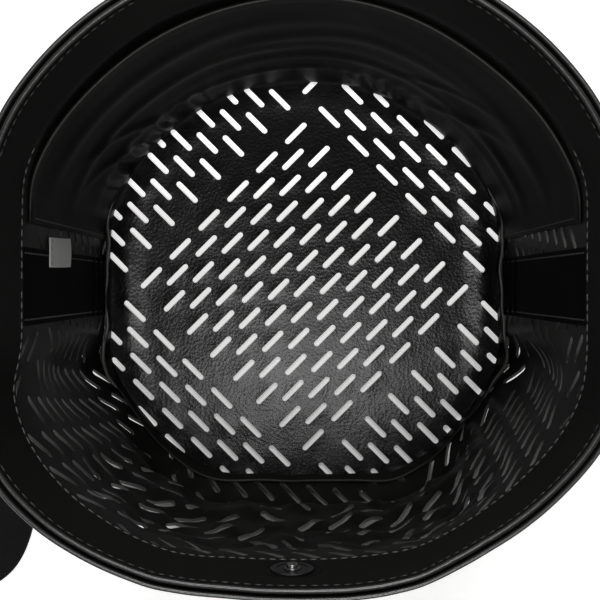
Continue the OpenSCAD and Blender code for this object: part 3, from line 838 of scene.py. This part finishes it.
def strap_webbing(material):
    """The webbing, swept along its route through the strap ends and over the table."""
    heights = [WEBBING_TOP, WEBBING_TOP - STRAP_END_L / 2, STRAP_END_Z, STRAP_END_Z - STRAIGHT_L]
    route = [((-RING_X, 0, z), (0, 1, 0)) for z in heights]
    route += [((x * RING_X, y * RING_X, z * STRAP_END_Z), w) for (x, y, z), w in STRAP_LIE]
    route += [((RING_X, 0, z), (0, 1, 0)) for z in heights[::-1]]
    place, width = (np.array([r[i] for r in route], float) for i in (0, 1))
    steps = 14

    def through(values):
        """A smooth curve through the values, in steps between each two."""
        padded = np.concatenate([values[:1], values, values[-1:]])
        out = []
        for i in range(len(values) - 1):
            a, b, c, d = padded[i:i + 4]
            for k in np.arange(steps) / steps:
                out.append(0.5 * (2 * b + (c - a) * k + (2 * a - 5 * b + 4 * c - d) * k ** 2
                                  + (3 * b - a - 3 * c + d) * k ** 3))
        return np.array(out + [values[-1]])
    middle, hint = through(place), through(width)
    middle[:, 0] += np.sign(middle[:, 0]) * lean(middle[:, 2] - RING_Z)
    ahead = unit(np.gradient(middle, axis=0))
    across = unit(hint - (hint * ahead).sum(1)[:, None] * ahead)
    face = np.cross(ahead, across)
    half_w, half_t = STRAP_W / 2, STRAP_T / 2
    rise = np.abs(across[:, 2]) * half_w + np.abs(face[:, 2]) * half_t
    middle[:, 2] += np.clip(rise - middle[:, 2], 0, None)
    selvedge, hollow = 0.9, 0.12
    flat = half_w - selvedge
    edge = [(flat + selvedge * cos(a), half_t * sin(a)) for a in half_turn(7)]
    edge += [(w, half_t - hollow * (1 - (w / half_w) ** 2))
             for w in np.linspace(flat, -flat, 13)[1:-1]]
    ring = edge + [(-w, -t) for w, t in edge]
    points, uv = [], []
    for p, w, f, s in zip(middle, across, face, distance_along(middle)):
        points += [p + w * a + f * b for a, b in ring]
        uv += [(s, a) for a, _ in ring]
    piece("strap_webbing", points, tube_faces(len(middle), len(ring)), material, "strap",
          ["strap_webbing"], crease=60, uv=uv)


# ------------ materials
def new_material(name):
    material = bpy.data.materials.new(name)
    material.use_nodes = True
    return material, material.node_tree, material.node_tree.nodes["Principled BSDF"]


def feed(tree, made, inputs):
    """Sets a node's inputs, each to a number, a colour or another node's socket."""
    for name, value in inputs.items():
        if isinstance(value, bpy.types.NodeSocket):
            tree.links.new(value, made.inputs[name])
        else:
            made.inputs[name].default_value = value


def node(tree, kind, inputs=(), **options):
    """Adds a shader node and gives its outputs."""
    made = tree.nodes.new("ShaderNode" + kind)
    for name, value in options.items():
        setattr(made, name, value)
    feed(tree, made, dict(inputs))
    return made.outputs


def relief(tree, height, strength, depth_mm):
    return node(tree, "Bump", {"Strength": strength, "Distance": depth_mm * MM,
                               "Height": height})["Normal"]


def tones(tree, share, dark, pale):
    """A colour between two greys, each (red, green, blue)."""
    return node(tree, "Mix", {6: (*dark, 1), 7: (*pale, 1), 0: share}, data_type="RGBA")[2]


def noise(tree, scale, detail):
    return node(tree, "TexNoise", {"Scale": scale, "Detail": detail,
                                   "Vector": node(tree, "TexCoord")["Object"]})["Fac"]


def uneven(tree, value, low, high):
    """A noise, stretched from 0 and 1 to low and high."""
    return node(tree, "MapRange", {"To Min": low, "To Max": high, "Value": value})["Result"]


def leather(name, colour, roughness, grain_mm, depth_mm, ior):
    """Dyed leather: a pebbled grain, fine pores and slightly uneven gloss."""
    material, tree, shader = new_material(name)
    pebble = node(tree, "TexVoronoi", {
        "Scale": 1000 / grain_mm, "Smoothness": 0.6, "Vector": node(tree, "TexCoord")["Object"]},
        feature="SMOOTH_F1")["Distance"]
    pores, patches = noise(tree, 2600, 3), noise(tree, 22, 4)
    height = node(tree, "Math", {0: pores, 1: 0.35, 2: pebble}, operation="MULTIPLY_ADD")[0]
    feed(tree, shader, {"Normal": relief(tree, height, 1, depth_mm), "IOR": ior,
                        "Roughness": uneven(tree, patches, roughness - 0.06, roughness + 0.06),
                        "Base Color": (*colour, 1)})
    return material


def thread_material(name, shade):
    material, tree, shader = new_material(name)
    feed(tree, shader, {"Normal": relief(tree, noise(tree, 1800, 2), 0.6, 0.1),
                        "Roughness": 0.4, "Base Color": (shade, shade, 0.94 * shade, 1)})
    return material


def satin():
    """Woven satin: fine ribs across a pale grey ground."""
    material, tree, shader = new_material("satin")
    weave = node(tree, "TexWave", {"Scale": 0.9, "Distortion": 0.6,
                                   "Vector": node(tree, "UVMap")["UV"]},
                 bands_direction="Y")["Fac"]
    # the ribs are paler than the grooves between them: painted shade in the grooves
    feed(tree, shader, {"Base Color": tones(tree, weave, (0.42, 0.42, 0.40), (0.52, 0.52, 0.50)),
                        "Normal": relief(tree, weave, 0.4, 0.1), "Roughness": 0.45,
                        "Sheen Weight": 0.3})
    return material


def webbing():
    """Ribbed polyester webbing: ribs across the strap, yarns along it."""
    material, tree, shader = new_material("webbing")
    where = node(tree, "UVMap")["UV"]
    ribs = node(tree, "TexWave", {"Scale": 0.42, "Distortion": 0.5, "Detail": 1,
                                  "Vector": where}, bands_direction="X")
    yarns = node(tree, "TexWave", {"Scale": 0.6, "Distortion": 1.2, "Vector": where},
                 bands_direction="Y")
    height = node(tree, "Math", {0: yarns["Fac"], 1: 0.3, 2: ribs["Fac"]},
                  operation="MULTIPLY_ADD")[0]
    # the colour follows the relief, darker in the grooves: painted shade
    feed(tree, shader, {"Base Color": tones(tree, height, (0.003,) * 3, (0.010,) * 3),
                        "Normal": relief(tree, height, 0.9, 0.5), "Roughness": 0.75,
                        "Specular IOR Level": 0.2})
    return material


def metal(name, colour, roughness):
    """Plated steel with faint wear: uneven gloss and fine bumps."""
    material, tree, shader = new_material(name)
    wear = noise(tree, 160, 6)
    feed(tree, shader, {"Roughness": uneven(tree, wear, roughness - 0.08, roughness + 0.1),
                        "Normal": relief(tree, wear, 0.25, 0.05), "Base Color": (*colour, 1),
                        "Metallic": 1})
    return material


# ------------ camera, floor and light
def camera():
    """The photograph's camera, its frame shifted to where the photograph was cropped."""
    data = bpy.data.cameras.new("camera")
    data.sensor_width = SENSOR_MM
    data.lens = SENSOR_MM * FOCAL_PX / FRAME_PX
    data.shift_x = (FRAME_PX / 2 - NADIR_PX[0]) / FRAME_PX
    data.shift_y = (NADIR_PX[1] - FRAME_PX / 2) / FRAME_PX
    data.clip_start = 0.01
    thing = in_scene("camera", data)
    thing.location = (0, 0, CAMERA_Z)
    bpy.context.scene.camera = thing


def area_light(name, place, width, depth, power):
    """A lamp that points at the bag's foot."""
    data = bpy.data.lights.new(name, "AREA")
    data.shape = "RECTANGLE"
    data.size, data.size_y, data.energy = width, depth, power
    thing = in_scene(name, data)
    thing.location = place
    thing.rotation_euler = (Vector() - Vector(place)).to_track_quat("-Z", "Y").to_euler()


def step(tree, value, low, high, to_low=0, to_high=1):
    """A smooth step of a value between two limits."""
    return node(tree, "MapRange", {"From Min": low, "From Max": high, "To Min": to_low,
                                   "To Max": to_high, "Value": value},
                interpolation_type="SMOOTHSTEP")["Result"]


def both(tree, operation, first, second):
    """A Math node on two values, each a socket or a number."""
    return node(tree, "Math", {0: first, 1: second}, operation=operation)[0]


def floor():
    """A white table that glows for the camera, with painted shade along the bag's front and under
    its base.
    """
    material, tree, shader = new_material("white table")
    where = node(tree, "TexCoord")["Object"]
    y = node(tree, "SeparateXYZ", {0: where})["Y"]
    from_middle = node(tree, "VectorMath", {0: where}, operation="LENGTH")["Value"]
    # where each tone begins and ends: in metres from the middle, then along y
    base_edge, painted_shade_edge, glow_edge = (0.122, 0.128), (0.158, 0.185), (0.14, 0.5)
    base_front, painted_shade_front = (-0.118, -0.113), (-0.118, -0.085)
    painted_base_shade, painted_back_glow = (-0.12, 0.04), (0, 0.08)
    under = both(tree, "MULTIPLY", step(tree, from_middle, *base_edge, 1, 0),
                 step(tree, y, *base_front))
    # a painted shadow of the bag lies along its front, which sags over it; it darkens the table
    # and dims its glow, though not under the base
    light_left_by_painted_shade = both(tree, "MAXIMUM", step(tree, from_middle, *painted_shade_edge), step(tree, y, *painted_shade_front))
    light_left_by_painted_shade = both(tree, "MAXIMUM", light_left_by_painted_shade, under)
    # painted shade: under the base the table darkens from the back to the front
    shade = both(tree, "MULTIPLY", under, step(tree, y, *painted_base_shade, 0.56, 0))
    light_left_by_painted_shade = both(tree, "MULTIPLY", light_left_by_painted_shade, both(tree, "SUBTRACT", 1, shade))
    # painted light: under the back of the base the table glows brighter
    back = both(tree, "MULTIPLY", under, step(tree, y, *painted_back_glow, 0, 0.8))
    glow_reach_with_painted_back_light = both(tree, "MAXIMUM", step(tree, from_middle, *glow_edge, 0.5), back)
    path = node(tree, "LightPath")
    seen = both(tree, "MAXIMUM", path["Is Camera Ray"], path["Is Glossy Ray"])
    backdrop_glow_with_painted_light = both(tree, "MULTIPLY", both(tree, "MULTIPLY", seen, light_left_by_painted_shade), glow_reach_with_painted_back_light)
    # the painted shade darkens the table's own colour too
    feed(tree, shader, {"Base Color": tones(tree, light_left_by_painted_shade, (0.16, 0.16, 0.155), (0.9, 0.9, 0.9)),
                        "Roughness": 0.9, "Specular IOR Level": 0.1,
                        "Emission Color": (1, 1, 0.985, 1), "Emission Strength": backdrop_glow_with_painted_light})
    n, reach, below = 24, 4000, 0.4
    gx, gy = np.meshgrid(*[np.linspace(-reach, reach, n)] * 2)
    points = np.stack([gx.ravel(), gy.ravel(), np.full(n * n, -below)], 1)
    piece("table", points, lattice_faces(n, n), material, None)


def world():
    """A dim studio, white behind the bag to the camera and low down in reflections."""
    scene = bpy.context.scene
    scene.world = bpy.data.worlds.new("studio")
    scene.world.use_nodes = True
    tree = scene.world.node_tree
    path = node(tree, "LightPath")
    height = node(tree, "SeparateXYZ", {0: node(tree, "TexCoord")["Generated"]})["Z"]
    mirrored = both(tree, "MAXIMUM", path["Is Glossy Ray"], path["Is Transmission Ray"])
    low = both(tree, "MULTIPLY", mirrored, step(tree, height, 0.1, 0.5, 1, 0))
    seen = both(tree, "MAXIMUM", path["Is Camera Ray"], low)
    feed(tree, tree.nodes["Background"], {
        "Color": (1, 1, 1, 1), "Strength": both(tree, "MAXIMUM", seen, AMBIENT)})
    scene.view_settings.view_transform = "Standard"


camera()
floor()
world()
area_light("overhead", (0, -0.27, 1.4), 0.34, 0.36, 7)
area_light("front key", (0, -1.1, 1.35), 0.8, 0.6, 1)
area_light("back key", (0, 1.1, 1.5), 0.9, 0.5, 20)

# one black thread in two copies: paler with painted sheen, and darker with painted shade for the
# rows under the rim and on the bands
SHEEN_PAINTED_THREAD = thread_material("thread with painted sheen", 0.055)
SHADE_PAINTED_THREAD = thread_material("thread in painted shade", 0.012)
# grained and wall leather are one perforated leather in two copies: the walls' copy is paler than
# the base's, painted light, and also less glossy
GRAINED = leather("grained leather", (0.002, 0.002, 0.0018), 0.27, 1.7, 0.08, 1.32)
WALL_LEATHER = leather("wall leather", (0.006, 0.006, 0.0055), 0.42, 1.2, 0.08, 1.2)
# the side strips' leather is a darker, less glossy copy of the smooth leather: painted shade
STRIP_LEATHER_PAINTED_SHADE = leather("strip leather in painted shade", (0.0014, 0.0014, 0.0013), 0.6, 0.7, 0.04, 1.09)
SMOOTH_LEATHER = leather("smooth leather", (0.007, 0.007, 0.0064), 0.55, 0.7, 0.04, 1.14)
# the cut faces of slots and edges are paler than the grain: partly the raw leather's own colour,
# partly painted highlight where the lips catch the light
CUT_EDGE_WITH_PAINTED_HIGHLIGHT = leather("cut edge", (0.03, 0.03, 0.028), 0.5, 0.8, 0.08, 1.5)
EDGE_PAINT = leather("edge paint", (0.02, 0.02, 0.019), 0.28, 2.4, 0.04, 1.55)
# the pocket roll is paler than the pocket leather: painted highlight
POCKET_ROLL_PAINTED_HIGHLIGHT = leather("pocket roll, painted highlight", (0.016, 0.0155, 0.014), 0.4, 0.6, 0.03, 1.35)
# the turned edge is paler still: painted highlight
TURNED_EDGE_PAINTED_HIGHLIGHT = leather("turned edge, painted highlight", (0.05, 0.05, 0.046), 0.4, 1.4, 0.06, 1.4)
POCKET_LEATHER = leather("pocket leather", (0.0045, 0.0045, 0.004), 0.5, 0.6, 0.03, 1.13)

wall_panel("front_wall", 0, 1, (RIGHT_U - FRONT_LEFT_U) / 2, WALL_LEATHER, CUT_EDGE_WITH_PAINTED_HIGHLIGHT,
           (-FRONT_SLOTS_LEFT, -FRONT_SLOTS_DOWN))
wall_panel("back_wall", BACK_U, -1, (LEFT_U - RIGHT_U) / 2, WALL_LEATHER, CUT_EDGE_WITH_PAINTED_HIGHLIGHT,
           plain=((LEFT_U - RIGHT_U) / 2 - POCKET_EDGE, POCKET_TOP - PLAIN_BAND))
base_sheet(GRAINED, CUT_EDGE_WITH_PAINTED_HIGHLIGHT)
base_binding(WALL_LEATHER, EDGE_PAINT, TURNED_EDGE_PAINTED_HIGHLIGHT)
mouth(SMOOTH_LEATHER, EDGE_PAINT, SHEEN_PAINTED_THREAD, SHADE_PAINTED_THREAD)
side_strips(STRIP_LEATHER_PAINTED_SHADE, SHEEN_PAINTED_THREAD)
slip_pocket(POCKET_LEATHER, POCKET_ROLL_PAINTED_HIGHLIGHT, SHEEN_PAINTED_THREAD)
care_label(satin(), SHEEN_PAINTED_THREAD)
NICKEL = metal("dark nickel", (0.32, 0.31, 0.30), 0.28)
GUNMETAL = metal("gunmetal", (0.055, 0.055, 0.058), 0.38)
snap(NICKEL, GUNMETAL, SMOOTH_LEATHER)
strap_hardware(SMOOTH_LEATHER, NICKEL, SHEEN_PAINTED_THREAD)
strap_webbing(webbing())
